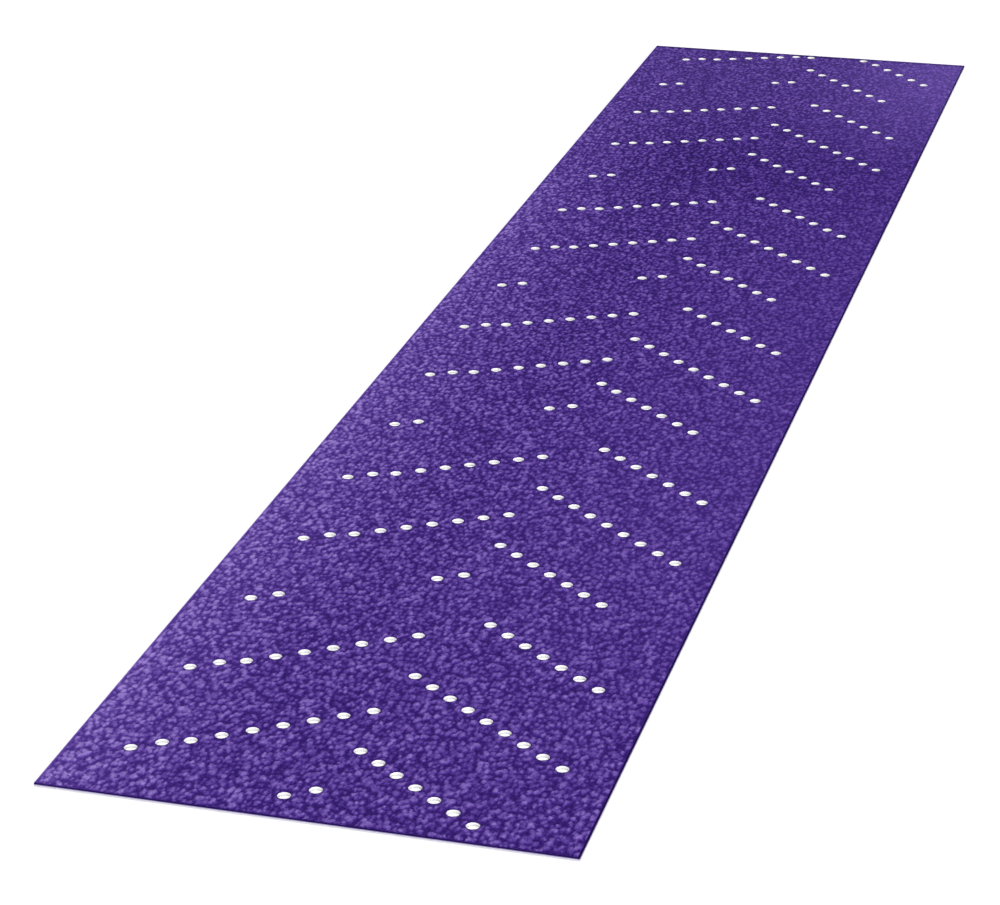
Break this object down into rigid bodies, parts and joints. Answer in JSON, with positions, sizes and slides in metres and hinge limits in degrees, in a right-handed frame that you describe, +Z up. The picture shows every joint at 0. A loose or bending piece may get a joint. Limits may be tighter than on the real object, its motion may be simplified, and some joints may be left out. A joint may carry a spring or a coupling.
{
  "type": "sanding strip",
  "caption": "Flat rectangular sanding strip: grain face on a paper backing with loop fabric below, punched through with chevron rows of small dust holes.",
  "frame": {"origin": "middle of the loop fabric's underside, on the surface that the strip lies on", "axes": "+X across the strip, +Y along it towards the far end, +Z up out of the grain face"},
  "size_m": [0.08, 0.4, 0.0008],
  "materials": {
    "loop_fabric": "brushed knit loops",
    "laminating_glue": "clear hot-melt film",
    "backing_paper": "dense uncoated",
    "make_coat": "cured resin",
    "abrasive_grain": "crushed grain in dyed resin",
    "size_coat": "cured resin",
    "supersize_coat": "waxy, dulled"
  },
  "bodies": {
    "root": {"loop_fabric": "loop_fabric", "laminating_glue": "laminating_glue", "backing_paper": "backing_paper", "make_coat": "make_coat", "abrasive_grain": "abrasive_grain", "size_coat": "size_coat", "supersize_coat": "supersize_coat"}
  },
  "joints": []
}
